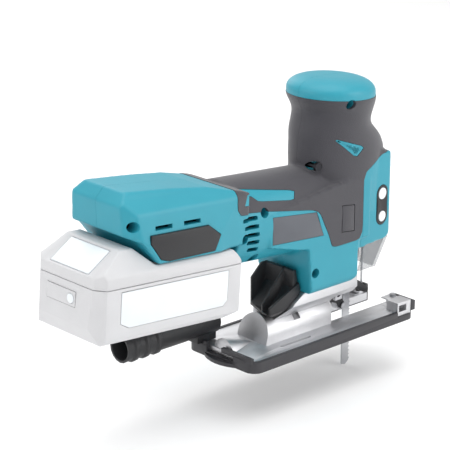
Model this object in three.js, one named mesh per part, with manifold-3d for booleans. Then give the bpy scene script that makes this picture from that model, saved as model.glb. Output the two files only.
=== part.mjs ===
// A cordless barrel-grip jigsaw, in millimetres.
// +X is the cutting direction, +Y is the tool's left, +Z is up. The origin is the middle of
// the sole's underside, so the blade hangs below Z = 0.
// The motor barrel, rear section and battery lean nose-down by bodyPitch. They are drawn in
// the barrel's own frame: along the motor axis, across it, and square to it.

import * as THREE from 'three';
import { mergeVertices } from 'three/addons/utils/BufferGeometryUtils.js';
import Module from 'manifold-3d';

const wasm = await Module();
wasm.setup();

// ---------------------------------------------------------------- driving dimensions

const bodySides = 20; // facets round the barrel and the neck
const roundSides = 14; // facets of shafts, bushes and rollers
const gap = 0.3; // clearance between pieces that touch or run in each other
const skin = 0.4; // visible line between two mouldings

const baseLength = 183;
const baseWidth = 77;
const baseCorner = 9;
const rimHeight = 9;
const rimWall = 3.5;
const soleThickness = 2;
const plateTop = 8.6;
const forkHalf = 12.5; // half the opening around the blade
const forkStart = 16; // where that opening begins
const capHeight = 15; // front bumpers of the two tines
const lipReach = 5; // low rounded lip behind the sole

const tiltHeight = 13.5; // the bevel axis runs along X at this height
const railRadius = 16.5; // half-round rail that the gear housing rides on
const railWall = 3.4;
const railBack = -57;
const railFront = 15;
const clampX = -21.5; // bolt that clamps the bevel setting
const clampShank = 3;
const clampHead = 5.4;

const bladeX = 49; // axis of the reciprocating rod
const bladeWidth = 8.6;
const bladeThickness = 1.4;
const bladeTip = -41;
const toothPitch = 3.3;
const toothDepth = 1.5;
const rodRadius = 4;
const stroke = 26;
const clampBottom = 33;
const clampTop = 40;
const clampRadius = 5.6;
const collarRadius = 7.8;

const bodyPitch = THREE.MathUtils.degToRad(4.3);
const barrelOrigin = new THREE.Vector3(-81.5, 0, 113); // a point on the motor axis
const barrelHalfWidth = 30.5;
const barrelHalfHeight = 34;
const barrelBack = -17;
const barrelFront = 105;
const wall = 2.5; // housing wall under the soft grip
const gripThickness = 2.3;
const flankHalf = 30;

const rearBack = -132;
const rearFront = -10;
const rearTop = 43.8;
const rearBottom = -8.8;
const rearHalf = 38.5;

const blockBack = -24;
const blockFront = 31;
const blockBottom = 45;
const noseFront = 76.5;
const noseBottom = 71;
const noseHalf = 28;
const coverBack = 35; // where the front cover meets the halves
const gripTop = 194.3; // rim of the domed cap
const domeHeight = 14.8;
const domeHalfLength = 36.2;
const domeHalfWidth = 34.2;
const neckX = 26.7; // axis of the neck at the rim

const gearModule = 0.75;
const pinionTeeth = 8;
const gearTeeth = 45;
const gearFace = 8;
const gearBack = 103;
const shaftRadius = 3;
const crankPinRadius = 2.5;
const crankPinLength = 9.5;
const statorRadius = 23;
const statorBore = 11.5;
const bearingRadius = 8;
const yokeHalfHeight = 5.5;
const yokeThickness = 5.5;
const sumpWall = 2.5;

const batteryRear = -157.5;
const batteryFront = -18.5;
const batteryHalf = 38.3;
const batteryBottom = -61.5;
const batterySplit = -21;
const batteryWall = 2.5;
const railHalf = 27.5; // battery rails under the rear section
const railDrop = 8.7;

const pipeRadius = 11.5;
const pipeBore = 9.5;
const pipeY = 28;
const pipeZ = 23.5;
const pipeBack = -168;
const pipeFront = -74;

const screwHead = 3.6;
const screwShank = 2;
const screwRecess = 4;
const bossRadius = 5.2;
const screwSides = 8;

const axleDistance = gearModule * (pinionTeeth + gearTeeth) / 2;
const crankRadius = stroke / 2;

// ---------------------------------------------------------------- shape helpers

const axisFrames = {
  x: [[0, 1, 0], [0, 0, 1], [1, 0, 0]],
  y: [[1, 0, 0], [0, 0, 1], [0, -1, 0]],
  z: [[1, 0, 0], [0, 1, 0], [0, 0, 1]],
};

// A straight prism. Along x its outline is (y, z), along y it is (x, z), along z it is (x, y).
function prism(outline, axis, from, to, holes = []) {
  const shape = new THREE.Shape(outline.map(([a, b]) => new THREE.Vector2(a, b)));
  for (const hole of holes) {
    shape.holes.push(new THREE.Path(hole.map(([a, b]) => new THREE.Vector2(a, b))));
  }
  const geometry = new THREE.ExtrudeGeometry(shape, { depth: to - from, bevelEnabled: false });
  const [u, v, w] = axisFrames[axis].map((direction) => new THREE.Vector3(...direction));
  geometry.applyMatrix4(new THREE.Matrix4().makeBasis(u, v, w));
  geometry.translate(...w.clone().multiplyScalar(axis === 'y' ? -to : from).toArray());
  return geometry;
}

function circle(radius, sides, [cx, cy] = [0, 0], turn = 0) {
  return Array.from({ length: sides }, (_, i) => {
    const angle = turn + (i / sides) * 2 * Math.PI;
    return [cx + radius * Math.cos(angle), cy + radius * Math.sin(angle)];
  });
}

function rectangle(x0, y0, x1, y1) {
  return [[x0, y0], [x1, y0], [x1, y1], [x0, y1]];
}

function roundedRectangle(x0, y0, x1, y1, radius, steps = 4) {
  const corners = [[x1 - radius, y0 + radius, -90], [x1 - radius, y1 - radius, 0],
    [x0 + radius, y1 - radius, 90], [x0 + radius, y0 + radius, 180]];
  return corners.flatMap(([cx, cy, start]) => Array.from({ length: steps + 1 }, (_, i) => {
    const angle = THREE.MathUtils.degToRad(start + (i / steps) * 90);
    return [cx + radius * Math.cos(angle), cy + radius * Math.sin(angle)];
  }));
}

// Mirrors a half outline, given for positive first coordinates, to the other side.
function bothSides(half) {
  return [...half, ...half.map(([a, b]) => [-a, b]).reverse()];
}

// Moves every edge of an outline inwards by distance, or outwards when it is negative.
function inset(outline, distance) {
  const signedArea = outline.reduce((sum, [a, b], i) => {
    const [c, d] = outline[(i + 1) % outline.length];
    return sum + a * d - b * c;
  }, 0);
  const points = signedArea > 0 ? outline : [...outline].reverse();
  const edges = points.map(([a, b], i) => {
    const [c, d] = points[(i + 1) % points.length];
    const length = Math.hypot(c - a, d - b);
    const normal = [-(d - b) / length, (c - a) / length];
    return { point: [a + normal[0] * distance, b + normal[1] * distance], along: [c - a, d - b] };
  });
  return edges.map((edge, i) => {
    const before = edges[(i + edges.length - 1) % edges.length];
    const cross = before.along[0] * edge.along[1] - before.along[1] * edge.along[0];
    if (Math.abs(cross) < 1e-6) return edge.point;
    const offset = [edge.point[0] - before.point[0], edge.point[1] - before.point[1]];
    const t = (offset[0] * edge.along[1] - offset[1] * edge.along[0]) / cross;
    return [before.point[0] + before.along[0] * t, before.point[1] + before.along[1] * t];
  });
}

// A solid of revolution about Z; the profile is (radius, height) and closes on the axis or itself.
function turned(profile, sides) {
  const geometry = new THREE.LatheGeometry(profile.map(([r, z]) => new THREE.Vector2(r, z)), sides);
  return geometry.rotateX(Math.PI / 2);
}

function ring(outer, inner, from, to, sides) {
  return turned([[inner, from], [outer, from], [outer, to], [inner, to], [inner, from]], sides);
}

function alongX(geometry) {
  return geometry.rotateY(Math.PI / 2);
}

// A closed three.js geometry as a solid that can be joined and cut; a solid passes through.
function asSolid(shape) {
  if (!shape.isBufferGeometry) return shape;
  const bare = shape.clone();
  bare.deleteAttribute('normal');
  bare.deleteAttribute('uv');
  const merged = mergeVertices(bare, 1e-4);
  const corners = merged.index.array;
  const kept = [];
  for (let i = 0; i < corners.length; i += 3) {
    const [a, b, c] = [corners[i], corners[i + 1], corners[i + 2]];
    if (a !== b && b !== c && c !== a) kept.push(a, b, c);
  }
  const vertProperties = new Float32Array(merged.attributes.position.array);
  const mesh = new wasm.Mesh({ numProp: 3, vertProperties, triVerts: new Uint32Array(kept) });
  return new wasm.Manifold(mesh);
}

function asGeometry(shape) {
  if (shape.isBufferGeometry) return shape;
  const { vertProperties, triVerts } = shape.getMesh();
  const geometry = new THREE.BufferGeometry();
  geometry.setAttribute('position', new THREE.BufferAttribute(new Float32Array(vertProperties), 3));
  geometry.setIndex(new THREE.BufferAttribute(new Uint32Array(triVerts), 1));
  return geometry;
}

function join(first, ...others) {
  return others.reduce((sum, next) => sum.add(asSolid(next)), asSolid(first));
}

function cut(first, ...others) {
  return others.reduce((rest, next) => rest.subtract(asSolid(next)), asSolid(first));
}

function common(first, ...others) {
  return others.reduce((rest, next) => rest.intersect(asSolid(next)), asSolid(first));
}

// ---------------------------------------------------------------- materials and groups

const finish = (color, roughness, metalness = 0) => new THREE.MeshStandardMaterial(
  { color, roughness, metalness },
);
const teal = finish('#2ba3b6', 0.45);
const elastomer = finish('#3f3e44', 0.75);
const blackPlastic = finish('#26272a', 0.55);
const aluminium = finish('#c9cacd', 0.45, 0.9);
const steel = finish('#a9abb0', 0.3, 1);
const darkSteel = finish('#3b3c40', 0.4, 0.9);
const paleCase = finish('#cbccce', 0.5);
const paleButton = finish('#dfe5ea', 0.5);
const plateGrey = finish('#55585f', 0.5);
const smoky = finish('#5c6068', 0.1);
const copper = finish('#b0703c', 0.4, 0.8);
const boardGreen = finish('#1f5a44', 0.6);
const bronze = finish('#a07a45', 0.4, 0.9);

const jigsaw = new THREE.Group();
const barrelGroup = new THREE.Group();
barrelGroup.position.copy(barrelOrigin);
barrelGroup.rotation.y = bodyPitch;
jigsaw.add(barrelGroup);
const barrelFrame = new THREE.Matrix4().makeRotationY(bodyPitch).setPosition(barrelOrigin);

function place(name, shape, material, parent = jigsaw) {
  const mesh = new THREE.Mesh(asGeometry(shape), material);
  mesh.name = name;
  parent.add(mesh);
  return mesh;
}

const pitched = (geometry) => geometry.applyMatrix4(barrelFrame);

// ---------------------------------------------------------------- outer form of the body

const rearSide = [[rearFront, rearBottom], [rearBack + 30.4, rearBottom], [rearBack + 15, 8.3],
  [rearBack + 2.6, 13.3], [rearBack, rearTop - 8.8], [rearBack + 7.4, rearTop],
  [rearBack + 51, rearTop - 2.4], [rearBack + 83, rearTop - 5.2], [rearFront - 6, rearTop - 12],
  [rearFront, rearTop - 14]];
const rearSection = bothSides([[rearHalf, rearBottom - 2], [rearHalf, 5],
  [rearHalf - 4, rearTop - 14.5], [rearHalf - 12, rearTop - 5.5], [rearHalf - 17, rearTop + 2]]);
const rearPlan = bothSides([[flankHalf + 1, rearFront + 2], [rearHalf, rearBack + 87],
  [rearHalf, rearBack + 15], [27, rearBack]]).map(([y, u]) => [u, y]);

function rearForm(depth) {
  const side = prism(inset(rearSide, depth), 'y', -60, 60);
  const section = prism(inset(rearSection, depth), 'x', rearBack - 5, rearFront + 5);
  const plan = prism(inset(rearPlan, depth), 'z', rearBottom - 5, rearTop + 5);
  return common(pitched(side), pitched(section), pitched(plan));
}

function barrelForm(depth) {
  const outline = circle(1, bodySides).map(([a, b]) => [
    a * (barrelHalfWidth - depth), b * (barrelHalfHeight - depth)]);
  return pitched(prism(outline, 'x', barrelBack + depth, barrelFront - depth));
}

// The flat flanks that carry the rating plate and the start pads.
function flankForm(depth) {
  const side = [[-66, 94], [-30, 84], [31, 80], [coverBack + 8, 80], [coverBack + 8, 128],
    [10, 130], [-66, 122]];
  return prism(inset(side, depth), 'y', -flankHalf + depth, flankHalf - depth);
}

function blockForm(depth) {
  const side = [[blockBack + 2.5, blockBottom], [blockFront - 4, blockBottom],
    [blockFront, blockBottom + 4], [blockFront, 100], [blockBack - 3, 100], [blockBack - 0.5, 82]];
  const section = bothSides([[flankHalf - 3, blockBottom], [flankHalf, blockBottom + 4],
    [flankHalf, 104]]);
  return common(prism(inset(side, depth), 'y', -40, 40),
    prism(inset(section, depth), 'x', blockBack - 10, blockFront + 10));
}

function noseForm(depth) {
  const side = [[blockFront - 30, noseBottom], [noseFront - 8, noseBottom],
    [noseFront - 1, noseBottom + 5], [noseFront - 1, 142], [60, 146], [30, 146],
    [blockFront - 30, 112]];
  const plan = bothSides([[flankHalf - 1, blockFront - 31], [noseHalf, coverBack],
    [noseHalf - 3.6, noseFront - 5], [noseHalf - 9, noseFront]]).map(([y, x]) => [x, y]);
  return common(prism(inset(side, depth), 'y', -40, 40),
    prism(inset(plan, depth), 'z', noseBottom - 10, 160));
}

// Sections of the neck and its domed cap: height, centre, half length, half width, lean.
const neckSections = [
  [100, 33.5, 42, 29.3, 0], [148, 33.5, 44.5, 31, 0], [155, 31.5, 43, 31, 0],
  [164, 28, 38, 30.3, 0.2], [172, 26.6, 33.6, 29.3, 0.6], [180, 28.2, 32.4, 30, 0.9],
  [gripTop - 0.6, neckX, domeHalfLength, domeHalfWidth, 1],
  [gripTop + 0.25 * domeHeight, neckX, domeHalfLength, domeHalfWidth, 1],
  [gripTop + 0.68 * domeHeight, neckX, domeHalfLength - 6, domeHalfWidth - 6, 1],
  [gripTop + 0.92 * domeHeight, neckX, domeHalfLength * 0.5, domeHalfWidth * 0.5, 1],
];

function neckForm(depth) {
  const rows = neckSections.map((row) => [...row]);
  const profile = [[0, rows[0][0]], ...rows.map(([z]) => [1, z]), [0, gripTop + domeHeight]];
  const geometry = turned(profile, bodySides);
  const position = geometry.attributes.position;
  const columns = ['1', '2', '3', '4'];
  for (let i = 0; i < position.count; i += 1) {
    const [x, y, z] = [position.getX(i), position.getY(i), position.getZ(i)];
    const [centre, halfLength, halfWidth, lean] = columns.map((column) => {
      let k = rows.findIndex((row) => row[0] >= z - 1e-6);
      if (k < 0) k = rows.length - 1;
      return rows[k][column];
    });
    const px = centre + x * (halfLength - depth);
    const rise = -Math.tan(bodyPitch) * (px - neckX) * lean;
    const drop = z > gripTop ? depth : 0;
    position.setXYZ(i, px, y * (halfWidth - depth), z + rise - drop);
  }
  return geometry;
}

function bodyForm(depth) {
  return join(rearForm(depth), barrelForm(depth), flankForm(depth), blockForm(depth),
    noseForm(depth), neckForm(depth));
}

const rimDrop = Math.tan(bodyPitch);
const rimHeightAt = (x) => gripTop - rimDrop * (x - neckX);

// Side outlines of the soft grip and of the front cover.
const gripOutline = [[-103.5, 175], [-105, 129.2], [-65, 123.6], [-22, 115.4], [-14.5, 112],
  [-4, 92], [0.8, 79.4], [coverBack - skin, 79.4], [coverBack - skin, 133.3], [61, 143.6],
  [95, 143.6], [95, rimHeightAt(95)], [-40, rimHeightAt(-40)], [-40, 175]];
const coverOutline = [[coverBack, 55], [coverBack, 133], [61.2, 143.2], [95, 143.2], [95, 55]];
const stripeOutline = [[-95.9, 134.8], [-92.4, 143.8], [-34.6, 132.5], [-39.2, 126.3],
  [-74.3, 132.2], [-79.3, 136.8], [-86.8, 137.6], [-90.2, 133.9]];
const triangleVent = [[4.5, 166], [34, 155.4], [25.1, 147.8]];

// Screws that hold the two halves together: place in side view and the depth of the head.
const screws = {
  rear: [-203.5, 143, 22], barrel_top: [-71.7, 123.7, 15], barrel_rear: [-94.2, 108.3, 15],
  barrel_low: [-75, 86.5, 11], neck: [-4.8, 143.7, 16], cap: [16.4, 192.2, 20],
  gear_block: [-17.6, 62.6, 18],
};

const louvres = Array.from({ length: 5 }, (_, i) => {
  const z = 124.6 - i * 6.5;
  return [[-97.5 + i * 2.4, z + 0.4], [-79.5 + i * 0.7, z - 1], [-79.5 + i * 0.7, z - 4.4],
    [-97.5 + i * 2.4, z - 3]];
});
const rearVents = [[-106, -90], [-79, -63]].map(([u0, u1]) => rectangle(u0, 16.4, u1, 19.6));

const through = (outline) => prism(outline, 'y', -60, 60);
const rightOnly = (outline, from, to) => prism(outline, 'y', -to, -from);

const startPad = [[11, 90], [24.5, 88.5], [24.5, 109.5], [11, 111.5]];
const ratingOutline = [[-64, 118.2], [-17.4, 112.4], [-9.4, 92], [-64, 96.4]];
const trimOutline = [[-111, 13.6], [-56, 13.6], [-44, 5], [-49, -6.4], [-93, -7.4],
  [-101, -5], [-111, 7.6]];
const trimInner = rearHalf - 1.9;
const trimOuter = rearHalf + 0.5;

// ---------------------------------------------------------------- housing halves and grips

const outerForm = bodyForm(0);
const underGrip = bodyForm(gripThickness + gap);
const gripZone = through(gripOutline);
const gripZoneWide = through(inset(gripOutline, -gap));
const coverZone = through(coverOutline);
const coverZoneWide = through(inset(coverOutline, -gap));

const capOverRim = prism([[neckX - 60, rimHeightAt(neckX - 60)], [neckX + 60,
  rimHeightAt(neckX + 60)], [neckX + 60, 240], [neckX - 60, 240]], 'y', -60, 60);

const cavity = bodyForm(gripThickness + gap + wall);

// The sump under the crank, which gives the yoke and the crank pin room below the nose.
const crankCentre = new THREE.Vector3(gearBack + gearFace + crankPinLength, 0, -axleDistance)
  .applyMatrix4(barrelFrame);
const yokeBack = crankCentre.x + 0.9;
const yokeSpan = crankRadius + crankPinRadius + 4;
const yokeFront = yokeBack + yokeThickness;
const sumpFloor = crankCentre.z - yokeHalfHeight - crankRadius - 1 - sumpWall;
const sumpFront = Math.min(yokeFront + 1 + sumpWall, bladeX - 1.6);
const sumpHalf = yokeSpan + 1 + sumpWall;
const sump = prism(rectangle(blockFront - 11, -sumpHalf, sumpFront, sumpHalf), 'z', sumpFloor, 90);
const sumpNose = prism(rectangle(blockFront - 11, -8, bladeX + 7, 8), 'z', sumpFloor, 90);
const driveSpace = [
  prism(rectangle(14, -sumpHalf + sumpWall, sumpFront - sumpWall, sumpHalf - sumpWall), 'z',
    sumpFloor + sumpWall, 112),
  prism(rectangle(14, -5.6, bladeX + 5, 5.6), 'z', sumpFloor + sumpWall, 112),
];

const shellOutside = join(sump, sumpNose, cut(outerForm, gripZoneWide, coverZoneWide), underGrip,
  common(outerForm, capOverRim), common(bodyForm(gap), through(stripeOutline)));

const railSection = bothSides([[railHalf - 5.5, rearBottom + 1.5], [railHalf, rearBottom + 1.5],
  [railHalf, rearBottom - railDrop], [railHalf - 5.5, rearBottom - railDrop]]);
const railPieces = [1, -1].map((side) => pitched(prism(railSection
  .filter(([y]) => y * side > 0), 'x', rearBack + 35, rearBack + 106)));

// Supports inside the halves: the seat of the upper rod bush and of the rear motor bearing.
const upperBushZ = [128, 136];
const bushRadius = 7.5;
const bushSeat = common(underGrip, prism(rectangle(bladeX - 13, upperBushZ[0] - 2,
  bladeX + 13, upperBushZ[1] + 2), 'y', -60, 60));
const rearBearingSpan = [17, 23];
const bearingSeat = common(underGrip, pitched(prism(rectangle(-50, -50, 50, 50), 'x',
  rearBearingSpan[0] - 0.5, rearBearingSpan[1] + 0.5)));

const bosses = Object.values(screws).map(([x, z]) => common(underGrip,
  prism(circle(bossRadius, screwSides, [x, z]), 'y', -60, 60)));

const screwHoles = Object.values(screws).flatMap(([x, z, head]) => [
  rightOnly(circle(screwRecess, screwSides, [x, z]), head, 60),
  prism(circle(screwShank + gap, screwSides, [x, z]), 'y', -head - 1, 12),
]);

// The lower housing of cast aluminium: a snout around the rod, and a foot that rides on the rail.
const castTop = 59.5;
const snoutBottom = 53.7; // above the blade clamp at the top of its stroke
const castSide = [[-47, 24], [17, 24], [19, 30], [39, 30], [39, snoutBottom], [45, snoutBottom], [45, castTop],
  [-10, castTop], [-10, blockBottom - gap], [-21, blockBottom - gap], [-31.5, 38]];
const castSection = bothSides([[12, 26], [21.5, 35.8], [21.5, blockBottom - gap],
  [14, blockBottom - gap], [14, 70]]);
const snoutOutline = roundedRectangle(30, -9.5, bladeX + 9.5, 9.5, 9, 4);
const castCore = common(through(castSide), prism(castSection, 'x', -60, 80));
const snout = prism(snoutOutline, 'z', snoutBottom, castTop);

const castOpening = [
  prism(rectangle(-14 - gap, blockBottom - 2, 14 + gap, castTop + gap), 'x', -10 - gap, 60),
];
const rodOpening = prism(circle(rodRadius + 1.5, roundSides, [bladeX, 0]), 'z', 55, 90);
const bushBore = prism(circle(bushRadius + gap, roundSides, [bladeX, 0]), 'z', 100,
  upperBushZ[1] + gap);
const rodWay = prism(circle(rodRadius + gap, roundSides, [bladeX, 0]), 'z', 100, 165);

const shell = cut(
  join(cut(shellOutside, cavity), ...railPieces, bushSeat, bearingSeat, ...bosses),
  ...screwHoles,
  ...castOpening,
  ...driveSpace,
  rodOpening,
  bushBore,
  rodWay,
  pitched(prism(circle(bearingRadius + gap, roundSides), 'x', 10, 40)),
  ...louvres.map(through),
  ...rearVents.map((outline) => pitched(through(outline))),
  through(inset(triangleVent, 2)),
  rightOnly(inset(ratingOutline, -gap), flankHalf - 0.9, 40),
  ...[1, -1].flatMap((side) => {
    const pad = side > 0 ? [flankHalf - 3.9, 40] : [-40, -(flankHalf - 3.9)];
    const trim = side > 0 ? [trimInner - gap, 60] : [-60, -(trimInner - gap)];
    return [prism(inset(startPad, -skin), 'y', ...pad),
      pitched(prism(inset(trimOutline, -gap), 'y', ...trim))];
  }),
);

const halfSpace = (side) => prism(rectangle(-300, 20, 200, 260), 'y',
  side > 0 ? gap / 2 : -80, side > 0 ? 80 : -gap / 2);

const gripLayer = cut(common(cut(outerForm, bodyForm(gripThickness)), gripZone),
  capOverRim, ...Object.values(screws).map(([x, z]) => rightOnly(circle(screwRecess, screwSides,
    [x, z]), 0, 60)),
  through(inset(stripeOutline, -gap)), through(triangleVent), through(inset(startPad, -skin)));

for (const [hand, side] of [['right', -1], ['left', 1]]) {
  place(`housing_${hand}`, common(shell, halfSpace(side)), teal);
  place(`grip_${hand}`, common(gripLayer, halfSpace(side)), elastomer);
  const padInner = flankHalf - 1.9;
  const pad = side > 0 ? [padInner, flankHalf + 0.5] : [-flankHalf - 0.5, -padInner];
  place(`start_pad_${hand}`, prism(startPad, 'y', ...pad), elastomer);
  const trim = side > 0 ? [trimInner, trimOuter] : [-trimOuter, -trimInner];
  place(`side_trim_${hand}`, prism(trimOutline, 'y', ...trim), blackPlastic, barrelGroup);
}

place('rating_plate', rightOnly(ratingOutline, flankHalf - 0.6, flankHalf + 0.1), plateGrey);

for (const [name, [x, z, head]] of Object.entries(screws)) {
  const profile = [[0, -head], [screwHead, -head], [screwHead, -head + 2.6], [screwShank, -head + 2.6],
    [screwShank, 10], [0, 11.5]];
  const geometry = turned(profile, screwSides).rotateX(-Math.PI / 2);
  place(`housing_screw_${name}`, geometry.translate(x, 0, z), darkSteel).position.y = -0.2 - 2.6;
}

// ---------------------------------------------------------------- front cover and controls

const lampSize = [7, 9];
const panelPlace = { x: 61.5, high: 110, low: 91, radius: 7 };
const panelTurn = Math.atan2(3.6, noseFront - 5 - coverBack);
const panelFace = noseHalf - Math.tan(panelTurn) * (panelPlace.x - coverBack);
const panelGroup = new THREE.Group();
panelGroup.position.set(panelPlace.x, -panelFace, 0);
panelGroup.rotation.z = panelTurn;
jigsaw.add(panelGroup);
const panelFrame = new THREE.Matrix4().makeRotationZ(panelTurn)
  .setPosition(panelPlace.x, -panelFace, 0);

const { high, low, radius: panelRadius } = panelPlace;
const panelOutline = [
  ...circle(panelRadius, 16, [0, low]).filter(([, z]) => z < low + 0.1),
  [panelRadius - 1, (low + high) / 2],
  ...circle(panelRadius, 16, [0, high]).filter(([, z]) => z > high - 0.1),
  [1 - panelRadius, (low + high) / 2],
].sort((a, b) => Math.atan2(a[1] - (low + high) / 2, a[0]) - Math.atan2(b[1] - (low + high) / 2, b[0]));
const panelPocket = prism(inset(panelOutline, -gap), 'y', -5, 1.7).applyMatrix4(panelFrame);
const buttonRadius = 4.4;
const windowRadius = 4.8;

const frontCover = cut(common(cut(outerForm, bodyForm(gripThickness)), coverZone),
  panelPocket, ...[sump, sumpNose].map((box) => prism(inset(box === sump
    ? rectangle(0, -sumpHalf, sumpFront, sumpHalf)
    : rectangle(0, -8, bladeX + 7, 8), -gap), 'z', 40, 92)),
  prism(rectangle(63, -lampSize[0] - gap, 63 + lampSize[1], lampSize[0] + gap), 'z', 60, 74));
place('front_cover', frontCover, teal);

const panel = cut(prism(panelOutline, 'y', -0.3, 1.5),
  prism(circle(buttonRadius + gap, 16, [0, low]), 'y', -5, 1.1),
  prism(circle(windowRadius + gap, 16, [0, high]), 'y', -5, 0.7));
place('control_panel', panel, blackPlastic, panelGroup);
place('power_button', prism(circle(buttonRadius, 16, [0, low]), 'y', -0.7, 0.2), paleButton, panelGroup);
place('mode_window', prism(circle(windowRadius, 16, [0, high]), 'y', -0.6, 0.4), paleButton, panelGroup);
place('lamp_lens', prism(rectangle(63 + gap, -lampSize[0], 63 + lampSize[1] - gap, lampSize[0]), 'z',
  noseBottom + 0.1, noseBottom + 1.9), smoky);

// ---------------------------------------------------------------- cast housing, rod, blade

const tiltCylinder = (radius, from, to, sides = 32) => prism(circle(radius, sides,
  [0, tiltHeight], Math.PI / sides), 'x', from, to);

const lowerBushZ = [54, 59];
const rollerPivot = [32, 26];
const rollerCentre = [bladeX - bladeWidth / 2 - 0.5 - 4.6, 14.5];
const rollerRadius = 4.6;
const lugs = [1, -1].map((side) => prism([[8, 22], [8, 31], [5.2, 31], [5.2, 22]]
  .map(([y, z]) => [y * side, z]), 'x', 28, 36));
const openerPivot = [42, 36.5];
const ears = [1, -1].map((side) => prism(rectangle(Math.min(side * 11.6, side * 14), 32.5,
  Math.max(side * 11.6, side * 14), 44), 'x', 38, 46));
const castHousing = cut(
  join(castCore, snout, ...lugs, ...ears),
  tiltCylinder(railRadius + gap, -60, 18),
  prism(circle(bushRadius - 1.5 + gap, roundSides, [bladeX, 0]), 'z', lowerBushZ[0] - gap, 80),
  prism(circle(rodRadius + 1, roundSides, [bladeX, 0]), 'z', 30, 80),
  prism(circle(clampShank + gap, 16, [clampX, 0]), 'z', 20, 43),
  prism(circle(1.6 + gap, 12, rollerPivot), 'y', -20, 20),
  prism(circle(1.6 + gap, 12, openerPivot), 'y', -14.5, 14.5),
  prism(rectangle(37.4, 30, 47, 44.5), 'y', -11.5, 11.5),
);
place('gear_housing', castHousing, aluminium);

const orbitalPlace = [4, 60];
place('clamp_bolt', turned([[0, tiltHeight + 5.5], [clampHead, tiltHeight + 5.5],
  [clampHead, tiltHeight + 11.3], [clampShank, tiltHeight + 11.3], [clampShank, 41], [0, 42]], 16)
  .translate(clampX, 0, 0), darkSteel);

place('lower_bush', ring(bushRadius - 1.5, rodRadius + gap, lowerBushZ[0], lowerBushZ[1], roundSides)
  .translate(bladeX, 0, 0), bronze);
place('upper_bush', ring(bushRadius, rodRadius + gap, ...upperBushZ, roundSides)
  .translate(bladeX, 0, 0), bronze);

const yoke = prism(roundedRectangle(-yokeSpan, crankCentre.z - yokeHalfHeight, yokeSpan,
  crankCentre.z + yokeHalfHeight, 4), 'x', yokeBack, yokeBack + yokeThickness,
[roundedRectangle(3 - yokeSpan, crankCentre.z - crankPinRadius - gap, yokeSpan - 3,
  crankCentre.z + crankPinRadius + gap, 2)]);
const yokeWeb = [1, -1].map((end) => prism(rectangle(yokeBack + 1, crankCentre.z + end * 3.4, bladeX,
  crankCentre.z + end * yokeHalfHeight), 'y', -3.4, 3.4));
const rod = turned([[0, clampTop - 4], [rodRadius, clampTop - 4], [rodRadius, 146], [0, 147]], roundSides)
  .translate(bladeX, 0, 0);
const clampCut = prism(rectangle(bladeX - bladeWidth / 2 - gap, -bladeThickness / 2 - gap,
  bladeX + bladeWidth / 2 + gap, bladeThickness / 2 + gap), 'z', 20, clampTop - 2);
const clampBody = turned([[0, clampBottom], [clampRadius, clampBottom], [clampRadius, clampTop],
  [0, clampTop]], roundSides).translate(bladeX, 0, 0);
place('slider_rod', cut(join(rod, yoke, ...yokeWeb, clampBody), clampCut), steel);

const collar = cut(ring(collarRadius, clampRadius + gap, clampBottom + 1.5, clampTop - 1.5, roundSides),
  prism(rectangle(-1, -20, 1, -collarRadius + 0.8), 'z', 30, 50));
place('clamp_collar', collar, steel).position.x = bladeX;

const bladeFront = bladeX + bladeWidth / 2;
const bladeBack = bladeX - bladeWidth / 2;
const toothCount = Math.floor((20 - bladeTip - 6) / toothPitch);
const teeth = Array.from({ length: toothCount }, (_, i) => {
  const z = bladeTip + 5 + i * toothPitch;
  return [[bladeFront, z], [bladeFront - toothDepth, z + 0.9], [bladeFront - toothDepth * 0.8, z + 2.2]];
}).flat();
const bladeOutline = [[bladeBack, bladeTip + 1], [bladeBack + 4, bladeTip], [bladeFront - 1.5,
  bladeTip + 2.5], ...teeth, [bladeFront - 0.4, 24], [bladeFront - 0.4, clampTop - 2.6],
[bladeBack + 0.4, clampTop - 2.6], [bladeBack, 24]];
place('blade', prism(bladeOutline, 'y', -bladeThickness / 2, bladeThickness / 2), steel);

const rollerWidth = 3;
const armOutline = (from, to, r0, r1) => {
  const angle = Math.atan2(to[1] - from[1], to[0] - from[0]);
  const arc = (centre, r, start) => Array.from({ length: 7 }, (_, i) => {
    const a = start + (i / 6) * Math.PI;
    return [centre[0] + r * Math.cos(a), centre[1] + r * Math.sin(a)];
  });
  return [...arc(from, r0, angle + Math.PI / 2), ...arc(to, r1, angle - Math.PI / 2)];
};
const arm = cut(
  join(prism(armOutline(rollerPivot, rollerCentre, 3.6, 3), 'y', -4.8, 4.8),
    prism(circle(1.6, 12, rollerPivot), 'y', -7.8, 7.8)),
  prism(circle(rollerRadius + 1, 20, rollerCentre), 'y', -rollerWidth - gap, rollerWidth + gap),
  prism(circle(1.5 + gap, 12, rollerCentre), 'y', -20, 20),
);
place('roller_arm', arm, blackPlastic);
place('guide_roller', cut(prism(circle(rollerRadius, 24, rollerCentre), 'y', -rollerWidth, rollerWidth),
  prism(circle(1.5 + gap, 12, rollerCentre), 'y', -20, 20)), steel);
const pin = (centre, radius, half, head) => join(prism(circle(radius, 12, centre), 'y', -half, half),
  prism(circle(head, 12, centre), 'y', -half - 1, -half));
place('roller_pin', pin(rollerCentre, 1.5, 5.2, 2.4), steel);

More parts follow.
